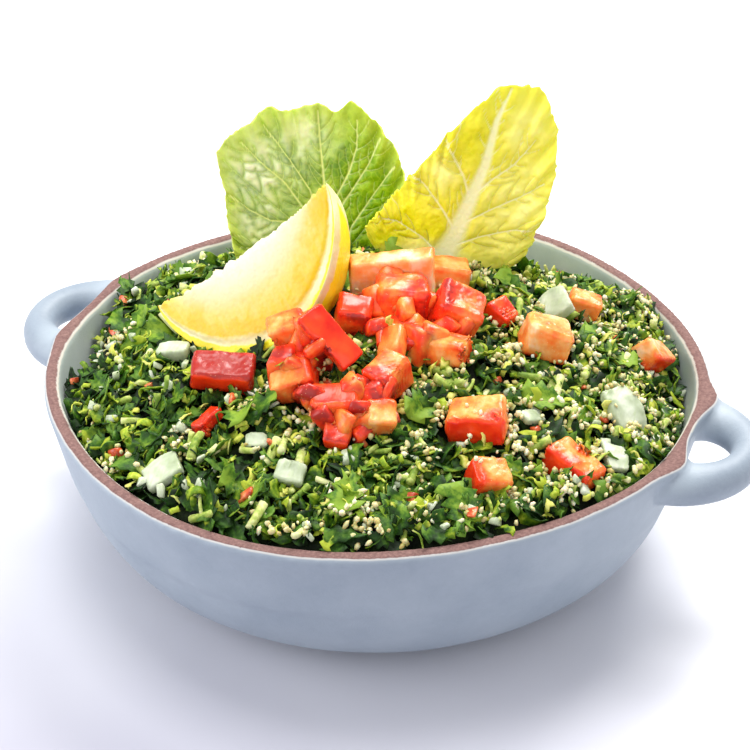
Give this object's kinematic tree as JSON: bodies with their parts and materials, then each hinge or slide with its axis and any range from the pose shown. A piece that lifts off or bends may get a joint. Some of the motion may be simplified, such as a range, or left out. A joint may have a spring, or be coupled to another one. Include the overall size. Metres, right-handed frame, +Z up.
{
  "type": "dish of tabbouleh",
  "caption": "Chopped parsley and bulgur salad heaped in a round two-handled stoneware bowl, with diced tomato, a lemon wedge and upright lettuce leaves.",
  "frame": {"origin": "on the table, under the middle of the bowl's foot, which is also the middle of the whole dish's bounding box", "axes": "+X through the two handles within 3 degrees, +Z up, the shown side of the salad towards -Y"},
  "size_m": [0.2364, 0.202, 0.1275],
  "materials": {
    "stoneware": "matt glaze",
    "salad": "moist",
    "lemon": "moist",
    "lettuce_green": "satin",
    "lettuce_yellow": "satin",
    "tomato": "moist",
    "onion": "moist"
  },
  "bodies": {
    "root": {"bowl": "stoneware", "lemon_wedge": "lemon", "lettuce_leaf_left": "lettuce_green", "lettuce_leaf_right": "lettuce_yellow", "onion_01": "onion", "onion_02": "onion", "onion_03": "onion", "onion_04": "onion", "onion_05": "onion", "onion_06": "onion", "onion_07": "onion", "onion_08": "onion", "salad": "salad", "tomato_01": "tomato", "tomato_02": "tomato", "tomato_03": "tomato", "tomato_04": "tomato", "tomato_05": "tomato", "tomato_06": "tomato", "tomato_07": "tomato", "tomato_08": "tomato", "tomato_09": "tomato", "tomato_10": "tomato", "tomato_11": "tomato", "tomato_12": "tomato", "tomato_13": "tomato", "tomato_14": "tomato", "tomato_15": "tomato", "tomato_16": "tomato", "tomato_17": "tomato", "tomato_18": "tomato", "tomato_19": "tomato", "tomato_20": "tomato", "tomato_21": "tomato", "tomato_22": "tomato", "tomato_23": "tomato", "tomato_24": "tomato"}
  },
  "joints": []
}
